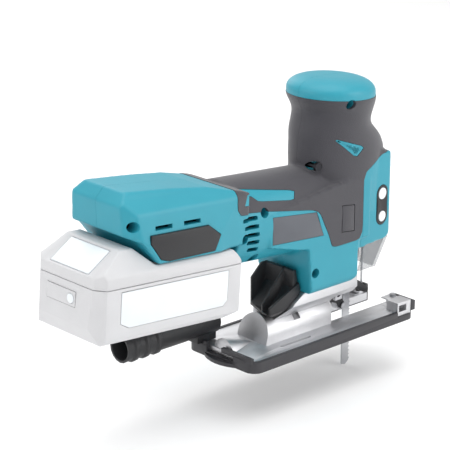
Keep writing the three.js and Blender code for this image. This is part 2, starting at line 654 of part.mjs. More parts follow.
const ringCentre = [bladeX + 13.5, 0];
const openerBand = [6.6, 8.6];
const openerRing = ring(openerBand[1], openerBand[0], 22.6, 25.2, roundSides).translate(...ringCentre, 0);
const armSide = [[openerPivot[0] - 3, openerPivot[1] + 3], [openerPivot[0] + 3, openerPivot[1] + 3],
  [ringCentre[0] + 1, 25.6], [ringCentre[0] + 1, 22.8], [ringCentre[0] - 4, 22.8],
  [openerPivot[0] - 3, openerPivot[1] - 3]];
const openerArms = [1, -1].map((side) => {
  const [inner, outer] = [8.1, 10.9].map((y) => side * y);
  const trunnion = [10.5 * side, 13.7 * side];
  return join(prism(armSide, 'y', Math.min(inner, outer), Math.max(inner, outer)),
    prism(circle(1.6, 12, openerPivot), 'y', Math.min(...trunnion), Math.max(...trunnion)));
});
const opener = cut(join(openerRing, ...openerArms), prism(circle(collarRadius + 0.5, roundSides, [bladeX, 0]),
  'z', 10, 70));
place('tool_opener', opener, blackPlastic);

// ---------------------------------------------------------------- guard wire and dust parts

const wireRadius = 0.9;
const wireHalf = 4;
class GuardWire extends THREE.Curve {
  getPoint(t, target = new THREE.Vector3()) {
    const top = noseBottom - gap;
    const straight = top - 21 - wireHalf;
    const bend = Math.PI * wireHalf;
    const s = t * (2 * straight + bend);
    const [x, bottom] = [ringCentre[0], 21 + wireHalf];
    if (s < straight) return target.set(x, -wireHalf, top - s);
    if (s > straight + bend) return target.set(x, wireHalf, bottom + s - straight - bend);
    const angle = (s - straight) / wireHalf;
    return target.set(x, -wireHalf * Math.cos(angle), bottom - wireHalf * Math.sin(angle));
  }
}
const wireSection = new THREE.Shape(circle(wireRadius, 6).map(([a, b]) => new THREE.Vector2(a, b)));
place('wire_guard', new THREE.ExtrudeGeometry(wireSection,
  { steps: 16, bevelEnabled: false, extrudePath: new GuardWire() }), steel);

const coverTop = noseBottom - 0.8;
const coverBottom = 44;
const coverSide = [[bladeX - 0.5, coverTop], [bladeX - 0.5, coverBottom], [bladeX + 19, coverBottom],
  [bladeX + 26, coverTop]];
const coverSection = bothSides([[13.8, coverBottom], [20, coverTop]]);
const guardWall = 1.6;
const dustCover = cut(
  common(through(coverSide), prism(coverSection, 'x', 0, 100)),
  common(through([[0, coverTop + 9], [0, coverBottom - 9], [bladeX + 19 - guardWall - 2.4,
    coverBottom - 9], [bladeX + 26 - guardWall + 2.4, coverTop + 9]]),
  prism(bothSides([[13.8 - guardWall - 2.15, coverBottom - 9], [20 - guardWall + 2.15, coverTop + 9]]),
    'x', 0, 100)),
);
place('dust_cover', dustCover, smoky);

const ductBottom = tiltHeight + railRadius + 1;
const ductFloor = 2.2;
const ductSide = [[-33, 64], [-44, 54], [-56, 41], [-55.5, ductBottom + 2.5], [-52, ductBottom],
  [-44, ductBottom], [-32.8, ductBottom + 7.6], [-23, 45.6], [-26.2, 64]];
const ductSection = bothSides([[15, 30], [19, 34.4], [19, 70]]);
const ductPlan = prism([[-57, -19.5], [-44, 15.8], [-10, 15.8], [-10, -19.5]], 'z', 0, 100);
const duct = common(through(ductSide), prism(ductSection, 'x', -80, 0), ductPlan);
const ductHollow = [[-80, 90], [-80, ductBottom + ductFloor], [-46, ductBottom + ductFloor], [-29.5, 50],
  [-29.5, 90]];
place('dust_duct', cut(
  duct,
  prism(ductHollow, 'y', -17, -6.8),
  prism(ductHollow, 'y', -4.8, 13.8),
  prism([[-70, 33.5], [-10, 59.6], [-10, 90], [-70, 90]], 'y', -30, -16.9),
  prism([[-62, 28], [-26, 66], [-26, 90], [-62, 90]], 'y', -7, -4.6),
), blackPlastic);

// ---------------------------------------------------------------- base, tilting about X

const halfLength = baseLength / 2;
const halfWidth = baseWidth / 2;
const coverForkHalf = tiltHeight + bladeThickness + gap; // the blade leans through it at 45 degrees
const coverOuter = roundedRectangle(-halfLength, -halfWidth, halfLength, halfWidth, baseCorner, 5);
const tray = inset(coverOuter, rimWall);
const lip = circle(34, 40, [-halfLength + 34 - lipReach, 0]).filter(([x]) => x < -halfLength + 6);
const wellHalf = railRadius - railWall;
const well = [-48, -5];
const fenceX = [halfLength - 19.5, halfLength - 10.7]; // the square hole for a fence bar
const fenceZ = [8.9, 14.4];
const fenceEnds = [fenceX[0] - 1.6, halfLength - 5.6];
const fenceScrewX = fenceEnds[1] - 2.6;
const capBlocks = [1, -1].map((side) => prism(rectangle(halfLength - 5.4, side * 14.2,
  halfLength - 0.3, side * (halfWidth - 0.6)), 'z', rimHeight - 2, capHeight));
const rearStep = [[-35, -15.2], [-15.4, -1.5], [15.2, 20]].map(([low, high]) => prism(
  rectangle(-halfLength + 0.3, low, -halfLength + rimWall, high), 'z', rimHeight - 1, rimHeight + 3));
const rearSlot = prism(rectangle(-halfLength - 9, -15, -halfLength + rimWall + 1, 15), 'z', 4.4, 20);
const baseCover = cut(
  join(cut(join(prism(coverOuter, 'z', 0, rimHeight), prism(lip, 'z', 0, 3), ...capBlocks),
    prism(tray, 'z', soleThickness, 30), rearSlot), ...rearStep),
  prism(rectangle(forkStart, -coverForkHalf, halfLength + 10, coverForkHalf), 'z', -5, 30),
  prism(rectangle(well[0], -wellHalf, well[1], wellHalf), 'z', -5, 30),
  prism(rectangle(fenceEnds[0] - gap, -halfWidth - 5, fenceEnds[1] + gap, halfWidth + 5), 'z', 5.2,
    capHeight + 1),
);
place('base_cover', baseCover, blackPlastic);

const plateOutline = inset(tray, gap);
const rail = prism(circle(railRadius, 32, [0, tiltHeight], Math.PI / 32)
  .filter(([, z]) => z > tiltHeight - 1e-6)
  .concat([[-railRadius, plateTop - 2], [railRadius, plateTop - 2]]), 'x', railBack, railFront);
const slantedEnd = prism([[railBack - 1, tiltHeight - 3], [railBack - 1, 40], [railBack + 8, 40],
  [railBack, tiltHeight - 3]], 'y', -40, 40);
const slotReach = THREE.MathUtils.degToRad(62);
const boltSlot = prism([[0, tiltHeight], [-30 * Math.sin(slotReach), tiltHeight
  + 30 * Math.cos(slotReach)], [-30, 60], [30, 60], [30 * Math.sin(slotReach), tiltHeight
  + 30 * Math.cos(slotReach)]], 'x', clampX - clampShank - 0.5, clampX + clampShank + 0.5);
const fenceBlocks = [1, -1].flatMap((side) => [
  prism(rectangle(fenceEnds[0], side * 25.5, fenceEnds[1], side * (halfWidth - 0.8)), 'z', 5.4,
    fenceZ[1] + 2.4),
  prism(rectangle(fenceX[0] + 3, side * 15, fenceEnds[1], side * 26), 'z', plateTop - 1,
    fenceZ[1] + 1.2),
]);
const cone = alongX(turned([[0, 0], [11, 0], [2.5, 27], [0, 27]], roundSides))
  .translate(-halfLength + rimWall + 1, 0, plateTop - 1.5);
const basePlate = cut(
  join(prism(plateOutline, 'z', soleThickness + gap, plateTop), rail, ...fenceBlocks,
    common(cone, prism(rectangle(-halfLength, -20, 0, 20), 'z', plateTop - 2, 30))),
  slantedEnd,
  tiltCylinder(wellHalf, well[0], well[1]),
  prism(rectangle(well[0], -wellHalf, well[1], wellHalf), 'z', -5, tiltHeight),
  prism(rectangle(forkStart, -forkHalf - gap, halfLength + 10, forkHalf + gap), 'z', -5, 40),
  boltSlot,
  prism(rectangle(fenceX[0], fenceZ[0], fenceX[1], fenceZ[1]), 'y', -60, 60),
  prism(roundedRectangle(-50, -26.5, -17, -23.5, 1.4), 'z', plateTop - 2, 20),
  ...[1, -1].map((side) => prism(circle(1.8, 12, [fenceScrewX, side * 20]), 'z', 11, 20)),
);
place('base_plate', basePlate, aluminium);

for (const [hand, side] of [['right', -1], ['left', 1]]) {
  const [foot, seat] = [12, fenceZ[1] + 1.3];
  const profile = [[0, foot], [1.5, foot], [1.5, seat], [2.6, seat], [2.6, seat + 2], [0, seat + 2]];
  place(`fence_screw_${hand}`, turned(profile, 12).translate(fenceScrewX, side * 20, 0), steel);
}

const ribs = Array.from({ length: 3 }, (_, i) => {
  const x = pipeBack + 6 + i * 11;
  return [[pipeRadius - 0.5, x], [pipeRadius + 1, x + 1.2], [pipeRadius + 1, x + 4.5],
    [pipeRadius - 0.5, x + 5.7]];
}).flat();
const pipe = alongX(turned([[pipeBore, pipeBack], [pipeRadius, pipeBack], ...ribs,
  [pipeRadius - 0.5, pipeFront], [pipeBore, pipeFront], [pipeBore, pipeBack]], 16))
  .translate(0, pipeY, pipeZ);
const hook = cut(prism(rectangle(-halfLength - 4, pipeY - 7, pipeFront - 2, pipeY + 7), 'z',
  rimHeight + gap, pipeZ - 7), alongX(turned([[0, -300], [pipeBore + 0.5, -300],
  [pipeBore + 0.5, 300], [0, 300]], 16)).translate(0, pipeY, pipeZ));
place('dust_pipe', join(pipe, hook), blackPlastic);

// ---------------------------------------------------------------- motor and drive

const shaftBack = 15;
const pinionSpan = [gearBack - 1.5, gearBack + gearFace];
const gearOutline = (teeth, turn) => {
  const pitchRadius = gearModule * teeth / 2;
  const step = (2 * Math.PI) / teeth;
  const [root, tip] = [pitchRadius - 1.2 * gearModule, pitchRadius + 0.75 * gearModule];
  return Array.from({ length: teeth }, (_, i) => [[root, 0.29], [tip, 0.44], [tip, 0.56], [root, 0.71]]
    .map(([r, f]) => {
      const angle = turn + (i + f - 0.5) * step;
      return [r * Math.cos(angle), r * Math.sin(angle)];
    })).flat();
};

const shaft = alongX(turned([[0, shaftBack], [shaftRadius, shaftBack], [shaftRadius, gearBack - 1.5],
  [0, gearBack - 1.5]], roundSides));
const pinion = prism(gearOutline(pinionTeeth, -Math.PI / 2 + Math.PI / pinionTeeth), 'x',
  pinionSpan[0] - 0.5, pinionSpan[1]);
place('motor_shaft', join(shaft, pinion), steel, barrelGroup);

const rotorSpan = [28, 58];
place('rotor_core', alongX(ring(statorBore - 0.8, shaftRadius + gap, ...rotorSpan, roundSides)), darkSteel,
  barrelGroup);
const poles = Array.from({ length: 6 }, (_, i) => {
  const outline = [[statorBore, -3.6], [statorBore + 1.6, -3.6], [statorBore + 1.6, -2],
    [statorRadius - 2, -2], [statorRadius - 2, 2], [statorBore + 1.6, 2],
    [statorBore + 1.6, 3.6], [statorBore, 3.6]];
  return prism(outline, 'x', rotorSpan[0] + 2, rotorSpan[1] - 2).rotateX((i * Math.PI) / 3);
});
const stator = join(alongX(ring(statorRadius, statorRadius - 3.5, ...rotorSpan, 20)), ...poles);
place('stator', stator, copper, barrelGroup);

const fanBack = 64;
const blades = Array.from({ length: 7 }, (_, i) => prism(rectangle(8, -0.8, 22, 0.8), 'x',
  fanBack, fanBack + 9).rotateX((i * 2 * Math.PI) / 7));
const fanDisc = alongX(ring(22, shaftRadius + gap, fanBack + 8, fanBack + 10, roundSides));
const fanHub = alongX(ring(8.6, shaftRadius + gap, fanBack, fanBack + 9, roundSides));
place('cooling_fan', join(fanDisc, fanHub, ...blades), blackPlastic, barrelGroup);

place('rear_bearing', alongX(ring(bearingRadius, shaftRadius + gap, ...rearBearingSpan, roundSides)), steel,
  barrelGroup);
const frontBearingSpan = [86, 92];
place('front_bearing', alongX(ring(bearingRadius, shaftRadius + gap, ...frontBearingSpan, roundSides)), steel,
  barrelGroup);
const axleRadius = 4;
const bearingPlate = prism(roundedRectangle(-22, -axleDistance - 9, 22, 14, 5), 'x',
  frontBearingSpan[0] - 1, frontBearingSpan[1] + 1,
  [circle(bearingRadius + gap, roundSides), circle(axleRadius + gap, 16, [0, -axleDistance])]);
place('bearing_plate', bearingPlate, aluminium, barrelGroup);
place('gear_axle', alongX(turned([[0, frontBearingSpan[0]], [axleRadius, frontBearingSpan[0]],
  [axleRadius, gearBack + gearFace - 1.5], [0, gearBack + gearFace - 1.5]], 16))
  .translate(0, 0, -axleDistance), steel, barrelGroup);

const gearDisc = prism(gearOutline(gearTeeth, Math.PI / 2), 'x', gearBack, gearBack + gearFace);
const gearBore = prism(circle(axleRadius + gap, roundSides), 'x', gearBack - 1, gearBack + gearFace - 1);
const crankPin = alongX(turned([[0, 0], [crankPinRadius, 0], [crankPinRadius, crankPinLength],
  [0, crankPinLength]], roundSides))
  .translate(gearBack + gearFace - 0.5, crankRadius, 0);
const driveGear = place('drive_gear', join(cut(gearDisc, gearBore), crankPin), steel, barrelGroup);
driveGear.position.z = -axleDistance;

place('controller_board', prism(rectangle(-118, 24, -44, 26), 'y', -28, 28), boardGreen, barrelGroup);
const terminal = cut(prism(rectangle(-94, rearBottom - railDrop, -34, rearBottom - gap), 'y', -20, 20),
  ...[-12, 0, 12].map((y) => prism(rectangle(-96, rearBottom - railDrop - 1, -50,
    rearBottom - railDrop + 4), 'y', y - 1.6, y + 1.6)));
place('terminal_block', terminal, blackPlastic, barrelGroup);

const leverHub = prism(circle(7.5, roundSides, orbitalPlace), 'y', flankHalf + gap, flankHalf + 4);
const leverArm = prism(roundedRectangle(orbitalPlace[0] - 2.6, orbitalPlace[1], orbitalPlace[0] + 2.6,
  orbitalPlace[1] + 17, 2), 'y', flankHalf + 1.5, flankHalf + 6);
place('orbital_lever', join(leverHub, leverArm), blackPlastic);

// ---------------------------------------------------------------- battery, sliding rearwards

const latchRise = 4.3;
const packSide = [[batteryFront, -21], [batteryFront - 9.5, rearBottom - 0.8],
  [rearBack + 29, rearBottom - 0.8], [rearBack + 11, latchRise], [rearBack - 0.5, latchRise],
  [batteryRear + 2, -12.8], [batteryRear, -50], [batteryRear + 5.5, batteryBottom],
  [batteryFront - 15.5, batteryBottom], [batteryFront - 1.5, -57]];
const packSection = bothSides([[batteryHalf - 3, batteryBottom], [batteryHalf, batteryBottom + 3.5],
  [batteryHalf, -13], [batteryHalf - 3, -8], [batteryHalf - 10, latchRise + 3]]);
const packPlan = [[batteryRear, 28], [batteryRear, -28], [batteryRear + 8, -batteryHalf],
  [batteryFront - 3, -batteryHalf], [batteryFront, 3 - batteryHalf], [batteryFront, batteryHalf - 3],
  [batteryFront - 3, batteryHalf], [batteryRear + 8, batteryHalf]];
const packForm = common(through(packSide), prism(packSection, 'x', -200, 0),
  prism(packPlan, 'z', -80, 20));

const cellRadius = 9.2;
const cellPitch = 18.2;
const cellCentres = Array.from({ length: 10 }, (_, i) => [
  batteryRear + 24 + (i % 5) * cellPitch, batteryBottom + 12.2 + Math.floor(i / 5) * cellPitch]);
const cellHalf = 32.5;
const wellBox = prism(rectangle(batteryRear + 10, batteryBottom + batteryWall, batteryFront - 12, 0),
  'y', -batteryHalf + 4, batteryHalf - 4);
const labelOutline = [[-136, -47], [-128, -51], [-38, -51], [-34, -47], [-34, -24], [-136, -24]];
const labelPocket = (side) => prism(inset(labelOutline, -gap), 'y',
  side > 0 ? batteryHalf - 0.9 : -50, side > 0 ? 50 : -batteryHalf + 0.9);
const gaugeOutline = rectangle(-12, -38, 20, -27);
const gaugePocket = prism(inset(gaugeOutline, -gap), 'x', batteryRear - 10, batteryRear + 3.2);
const checkPlace = [-7, -32.5];
const lowerHalfSpace = prism(rectangle(-60, -90, 60, batterySplit - gap / 2), 'x', -220, 20);
const upperHalfSpace = prism(rectangle(-60, batterySplit + gap / 2, 60, 40), 'x', -220, 20);
place('battery_case', cut(common(packForm, lowerHalfSpace), wellBox, labelPocket(1), labelPocket(-1),
  gaugePocket), paleCase, barrelGroup);
place('cell_pack', join(...cellCentres.map((centre) => prism(circle(cellRadius, 12, centre), 'y',
  -cellHalf, cellHalf))), finish('#4d86b8', 0.4), barrelGroup);

const slope = Math.atan2(latchRise + 12.8, batteryRear + 2 - rearBack + 0.5);
const latchMiddle = [(rearBack - 0.5 + batteryRear + 2) / 2, (latchRise - 12.8) / 2];
const latchLength = Math.hypot(latchRise + 12.8, rearBack - 0.5 - batteryRear - 2);
const latchGroup = new THREE.Group();
latchGroup.position.set(latchMiddle[0], 0, latchMiddle[1]);
latchGroup.rotation.y = -(Math.PI - slope);
barrelGroup.add(latchGroup);
const latchFrame = new THREE.Matrix4().makeRotationY(latchGroup.rotation.y)
  .setPosition(latchMiddle[0], 0, latchMiddle[1]);
const latchHalf = 21.5;
const latchThickness = 4;
const latchTravel = 2.5;
const latchPocket = prism(rectangle(-latchLength / 2 + 2, -latchHalf - skin, latchLength / 2 - 2.5,
  latchHalf + skin), 'z', -latchThickness - latchTravel - 1, 20).applyMatrix4(latchFrame);
const channel = prism(rectangle(-railHalf - 0.6, batterySplit + 2, railHalf + 0.6, 20), 'x',
  rearBack + 33, 0);
const packTop = cut(common(packForm, upperHalfSpace), latchPocket, channel);
place('battery_top', packTop, paleCase, barrelGroup);
place('battery_latch', prism(rectangle(-latchLength / 2 + 2 + skin, -latchHalf, latchLength / 2 - 2.5
  - skin, latchHalf), 'z', -latchThickness, 0.4), paleButton, latchGroup);

for (const [hand, side] of [['right', -1], ['left', 1]]) {
  const span = side > 0 ? [batteryHalf - 0.6, batteryHalf + 0.2] : [-batteryHalf - 0.2, 0.6 - batteryHalf];
  place(`battery_label_${hand}`, prism(labelOutline, 'y', ...span), paleButton, barrelGroup);
}
const checkRadius = 3.6;
place('gauge_panel', cut(prism(gaugeOutline, 'x', batteryRear + 0.6, batteryRear + 2.9),
  prism(circle(checkRadius + gap, 16, checkPlace), 'x', batteryRear - 5, batteryRear + 2.3)),
blackPlastic, barrelGroup);
place('check_button', prism(circle(checkRadius, 16, checkPlace), 'x', batteryRear + 0.1,
  batteryRear + 1.2), paleButton, barrelGroup);

export default jigsaw;
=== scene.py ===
import math

import bmesh
import bpy
from mathutils import Matrix, Vector


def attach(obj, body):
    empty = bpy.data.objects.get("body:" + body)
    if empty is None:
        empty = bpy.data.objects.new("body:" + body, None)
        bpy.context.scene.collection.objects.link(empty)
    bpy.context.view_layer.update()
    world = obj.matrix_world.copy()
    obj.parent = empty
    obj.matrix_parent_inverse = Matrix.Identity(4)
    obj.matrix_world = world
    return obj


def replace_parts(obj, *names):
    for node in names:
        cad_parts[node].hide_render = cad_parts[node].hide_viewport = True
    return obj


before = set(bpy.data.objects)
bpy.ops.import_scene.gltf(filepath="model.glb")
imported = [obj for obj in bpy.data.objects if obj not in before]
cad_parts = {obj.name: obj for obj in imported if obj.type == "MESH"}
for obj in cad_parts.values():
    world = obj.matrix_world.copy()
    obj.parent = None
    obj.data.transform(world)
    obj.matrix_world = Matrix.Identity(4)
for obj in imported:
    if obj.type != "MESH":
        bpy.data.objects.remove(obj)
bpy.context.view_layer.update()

MM = 0.001

# ------------------------------------------------------------------ studio, camera and floor
# The tool is seen from behind and to its right, a little from above, through a long lens.
# Soft panels light it from over the camera's shoulders, and the floor is just under the blade.

CAMERA_PLACE = Vector((-1.0090, -1.0036, 0.5642))
CAMERA_TARGET = Vector((-0.08574, 0.0, 0.1103))
LENS = 151.7
FLOOR_HEIGHT = -0.0418


def aimed(place, target):
    turn = (Vector(target) - Vector(place)).to_track_quat("-Z", "Y")
    return Matrix.Translation(place) @ turn.to_matrix().to_4x4()


camera = bpy.data.objects.new("camera", bpy.data.cameras.new("camera"))
camera.data.lens = LENS
camera.data.sensor_width = 36
camera.data.clip_end = 20
camera.matrix_world = aimed(CAMERA_PLACE, CAMERA_TARGET)
bpy.context.scene.collection.objects.link(camera)
bpy.context.scene.camera = camera
bpy.context.scene.view_settings.view_transform = "Standard"

for name, place, size, power in (
        ("overhead_panel", (-0.1, -0.1, 1.5), 1.6, 14.0),
        ("right_panel", (0.9, -1.5, 0.7), 1.1, 12.0),
        ("rear_panel", (-1.5, 0.3, 0.9), 1.0, 6.0),
        ("left_panel", (0.4, 1.6, 0.9), 1.2, 6.0)):
    light = bpy.data.lights.new(name, "AREA")
    light.size, light.energy = size, power
    panel = bpy.data.objects.new(name, light)
    panel.matrix_world = aimed(place, (-0.07, 0, 0.1))
    bpy.context.scene.collection.objects.link(panel)

world = bpy.data.worlds.new("studio")
world.use_nodes = True
world.node_tree.nodes["Background"].inputs["Color"].default_value = (1, 1, 1, 1)
world.node_tree.nodes["Background"].inputs["Strength"].default_value = 0.72
bpy.context.scene.world = world


class Signal:
    """A socket of a node tree that takes part in sums, products and comparisons."""

    def __init__(self, tree, socket):
        self.tree, self.socket = tree, socket

    def math(self, operation, *values):
        return node(self.tree, "ShaderNodeMath", {"operation": operation}, *values)

    def __add__(self, other):
        return self.math("ADD", self, other)

    def __sub__(self, other):
        return self.math("SUBTRACT", self, other)

    def __rsub__(self, other):
        return self.math("SUBTRACT", other, self)

    def __mul__(self, other):
        return self.math("MULTIPLY", self, other)

    def __gt__(self, other):
        return self.math("GREATER_THAN", self, other)

    def __lt__(self, other):
        return self.math("LESS_THAN", self, other)

    def __pow__(self, other):
        return self.math("POWER", self, other)

    __radd__, __rmul__ = __add__, __mul__

    def over(self, low, high):
        """0 below low, 1 above high, and a straight ramp between them."""
        return node(self.tree, "ShaderNodeMapRange", {"clamp": True}, self, low, high, 0.0, 1.0)


def node(tree, kind, settings, *values, out=0, **named):
    """Adds a node: its settings first, then the values or links of its sockets."""
    made = tree.nodes.new(kind)
    for key, value in settings.items():
        if key == "stops":
            ramp = made.color_ramp
            while len(ramp.elements) < len(value):
                ramp.elements.new(0.5)
            for element, (position, colour) in zip(ramp.elements, value):
                element.position, element.color = position, (*colour, 1)
        else:
            setattr(made, key, value)
    for key, value in [*enumerate(values), *named.items()]:
        socket = made.inputs[key] if isinstance(key, int) else made.inputs[key.replace("_", " ")]
        if isinstance(value, Signal):
            tree.links.new(value.socket, socket)
        elif value is not None:
            socket.default_value = value
    return Signal(tree, made.outputs[out])


def linear(code):
    """A six-digit sRGB colour as linear light, with alpha."""
    parts = [int(code[i:i + 2], 16) / 255 for i in (0, 2, 4)]
    return (*[c / 12.92 if c <= 0.04045 else ((c + 0.055) / 1.055) ** 2.4 for c in parts], 1.0)


class Finish:
    """A material under way: its tree, its main shader and the object's own coordinates."""

    def __init__(self, name, **constants):
        self.material = bpy.data.materials.new(name)
        self.material.use_nodes = True
        self.tree = self.material.node_tree
        self.shader = self.tree.nodes["Principled BSDF"]
        for key, value in constants.items():
            self.shader.inputs[key.replace("_", " ")].default_value = value
        self.place = node(self.tree, "ShaderNodeTexCoord", {}, out=3)

    def noise(self, size, detail=2.0, stretch=None):
        """Soft random spots about size metres across, from 0 to 1."""
        place = self.place
        if stretch:
            place = node(self.tree, "ShaderNodeMapping", {}, place, (0, 0, 0), (0, 0, 0), stretch)
        return node(self.tree, "ShaderNodeTexNoise", {}, Vector=place, Scale=1 / size, Detail=detail)

    def blend(self, share, low, high):
        """A colour from low to high as share goes from 0 to 1."""
        made = self.tree.nodes.new("ShaderNodeMix")
        made.data_type = "RGBA"
        for socket, value in ((made.inputs[0], share), (made.inputs[6], low), (made.inputs[7], high)):
            if isinstance(value, Signal):
                self.tree.links.new(value.socket, socket)
            else:
                socket.default_value = value
        return Signal(self.tree, made.outputs[2])

    def bump(self, height, strength, distance, under=None):
        return node(self.tree, "ShaderNodeBump", {}, Strength=strength, Distance=distance,
                    Height=height, **({"Normal": under} if under else {}))

    def drive(self, **links):
        for key, value in links.items():
            self.tree.links.new(value.socket, self.shader.inputs[key.replace("_", " ")])
        return self.material


floor_finish = Finish("floor_paper", Roughness=0.9)
floor_finish.drive(Base_Color=floor_finish.blend(floor_finish.noise(0.05), linear("f7f7f7"), linear("fcfcfc")))
floor_mesh = bpy.data.meshes.new("floor")
floor_mesh.from_pydata([(-8, -8, FLOOR_HEIGHT), (8, -8, FLOOR_HEIGHT), (8, 8, FLOOR_HEIGHT),
                        (-8, 8, FLOOR_HEIGHT)], [], [(0, 1, 2, 3)])
floor = bpy.data.objects.new("floor", floor_mesh)
floor.data.materials.append(floor_finish.material)
bpy.context.scene.collection.objects.link(floor)

# ------------------------------------------------------------------ moulded body: overall form
# The body is two nylon mouldings screwed together on the tool's centre plane. Its form is the
# rear section, the motor barrel, the flat flanks, the gear block, the nose and the neck, which
# are joined as solids, meshed evenly and relaxed so that every edge has a moulded radius.

PITCH = math.radians(4.3)
BARREL_ORIGIN = Vector((-81.5, 0, 113)) * MM
BARREL_FRAME = Matrix.Translation(BARREL_ORIGIN) @ Matrix.Rotation(PITCH, 4, "Y")
GRIP_DEPTH = 2.6
WALL = 2.5
REAR_BACK, REAR_FRONT, REAR_TOP, REAR_BOTTOM, REAR_HALF = -132, -10, 43.8, -8.8, 38.5
BARREL_WIDE, BARREL_TALL = 30.5, 34
FLANK_HALF = 30
BLOCK_BACK, BLOCK_FRONT, BLOCK_BOTTOM = -24, 31, 45
NOSE_FRONT, NOSE_BOTTOM, NOSE_HALF = 76.5, 71, 28
COVER_BACK = 35
RIM, NECK_X = 194.3, 26.7
AXES = {"x": lambda a, b, c: (c, a, b), "y": lambda a, b, c: (a, c, b), "z": lambda a, b, c: (a, b, c)}


def shown(name, mesh):
    piece = bpy.data.objects.new(name, mesh)
    bpy.context.scene.collection.objects.link(piece)
    return piece


def from_bmesh(name, bm, place=None):
    bmesh.ops.recalc_face_normals(bm, faces=bm.faces)
    mesh = bpy.data.meshes.new(name)
    bm.to_mesh(mesh)
    bm.free()
    if place:
        mesh.transform(place)
    return shown(name, mesh)


def prism(outline, axis, low, high, place=None, name="solid"):
    """A straight solid, in millimetres. Along x its outline is (y, z), along y (x, z)."""
    bm = bmesh.new()
    rings = [[bm.verts.new(Vector(AXES[axis](a, b, c)) * MM) for a, b in outline] for c in (low, high)]
    for ring in rings:
        bm.faces.new(ring)
    for i in range(len(outline)):
        j = (i + 1) % len(outline)
        bm.faces.new((rings[0][i], rings[0][j], rings[1][j], rings[1][i]))
    return from_bmesh(name, bm, place)


def rectangle(x0, y0, x1, y1):
    return [(x0, y0), (x1, y0), (x1, y1), (x0, y1)]


def circle(radius, sides, centre=(0, 0)):
    return [(centre[0] + radius * math.cos(2 * math.pi * i / sides),
             centre[1] + radius * math.sin(2 * math.pi * i / sides)) for i in range(sides)]


def both_sides(half):
    return [*half, *[(-a, b) for a, b in reversed(half)]]


def inset(outline, distance):
    """Moves every edge of an outline inwards, or outwards when distance is negative."""
    area = sum(a * d - b * c for (a, b), (c, d) in zip(outline, outline[1:] + outline[:1]))
    points = outline if area > 0 else outline[::-1]
    edges = []
    for (a, b), (c, d) in zip(points, points[1:] + points[:1]):
        length = math.hypot(c - a, d - b)
        normal = (-(d - b) / length, (c - a) / length)
        edges.append(((a + normal[0] * distance, b + normal[1] * distance), (c - a, d - b)))
    moved = []
    for i, (point, along) in enumerate(edges):
        before, back = edges[i - 1]
        cross = back[0] * along[1] - back[1] * along[0]
        if abs(cross) < 1e-6:
            moved.append(point)
            continue
        t = ((point[0] - before[0]) * along[1] - (point[1] - before[1]) * along[0]) / cross
        moved.append((before[0] + back[0] * t, before[1] + back[1] * t))
    return moved


def eased(outline, passes=2, share=0.25):
    """Cuts the corners of an outline so that it runs in curves."""
    for _ in range(passes):
        outline = [point for (a, b), (c, d) in zip(outline, outline[1:] + outline[:1])
                   for point in ((a + (c - a) * share, b + (d - b) * share),
                                 (a + (c - a) * (1 - share), b + (d - b) * (1 - share)))]
    return outline


def settle(piece):
    """Makes a piece's modifiers part of its mesh."""
    view = bpy.context.evaluated_depsgraph_get()
    mesh = bpy.data.meshes.new_from_object(piece.evaluated_get(view))
    piece.modifiers.clear()
    piece.data = mesh
    return piece


def combine(first, others, operation="UNION"):
    for other in others:
        step = first.modifiers.new("step", "BOOLEAN")
        step.operation, step.solver, step.object = operation, "MANIFOLD", other
    settle(first)
    for other in others:
        bpy.data.objects.remove(other)
    return first


def union(*solids):
    return combine(solids[0], solids[1:])


def cut(first, *others):
    return combine(first, others, "DIFFERENCE")


def common(first, *others):
    return combine(first, others, "INTERSECT")


def twin(piece, name="twin"):
    return shown(name, piece.data.copy())


def soften(piece, voxel, passes):
    """Meshes a solid evenly and relaxes it, which rounds its edges."""
    remesh = piece.modifiers.new("even", "REMESH")
    remesh.mode, remesh.voxel_size = "VOXEL", voxel * MM
    relax = piece.modifiers.new("relax", "SMOOTH")
    relax.factor, relax.iterations = 0.5, passes
    return settle(piece)


def rear_form(depth):
    side = [(REAR_FRONT, REAR_BOTTOM), (REAR_BACK + 30.4, REAR_BOTTOM), (REAR_BACK + 15, 8.3),
            (REAR_BACK + 2.6, 13.3), (REAR_BACK, REAR_TOP - 8.8), (REAR_BACK + 7.4, REAR_TOP),
            (REAR_BACK + 51, REAR_TOP - 2.4), (REAR_BACK + 83, REAR_TOP - 5.2),
            (REAR_FRONT - 6, REAR_TOP - 12), (REAR_FRONT, REAR_TOP - 14)]
    section = both_sides([(REAR_HALF, REAR_BOTTOM - 2), (REAR_HALF, 5), (REAR_HALF - 4, REAR_TOP - 14.5),
                          (REAR_HALF - 12, REAR_TOP - 5.5), (REAR_HALF - 17, REAR_TOP + 2)])
    plan = [(REAR_BACK + 87, REAR_HALF), (REAR_BACK + 15, REAR_HALF), (REAR_BACK, 27),
            (REAR_BACK, -27), (REAR_BACK + 15, -REAR_HALF), (REAR_BACK + 87, -REAR_HALF),
            (REAR_FRONT + 2, -FLANK_HALF - 1), (REAR_FRONT + 2, FLANK_HALF + 1)]
    return common(prism(inset(side, depth), "y", -60, 60, BARREL_FRAME),
                  prism(inset(section, depth), "x", REAR_BACK - 5, REAR_FRONT + 5, BARREL_FRAME),
                  prism(inset(plan, depth), "z", REAR_BOTTOM - 5, REAR_TOP + 5, BARREL_FRAME))


def barrel_form(depth):
    outline = [(a * (BARREL_WIDE - depth), b * (BARREL_TALL - depth)) for a, b in circle(1, 72)]
    return prism(outline, "x", -17 + depth, 105 - depth, BARREL_FRAME)


def flank_form(depth):
    side = [(-66, 94), (-30, 84), (31, 80), (COVER_BACK + 8, 80), (COVER_BACK + 8, 128), (10, 130),
            (-66, 122)]
    return prism(inset(side, depth), "y", -FLANK_HALF + depth, FLANK_HALF - depth)


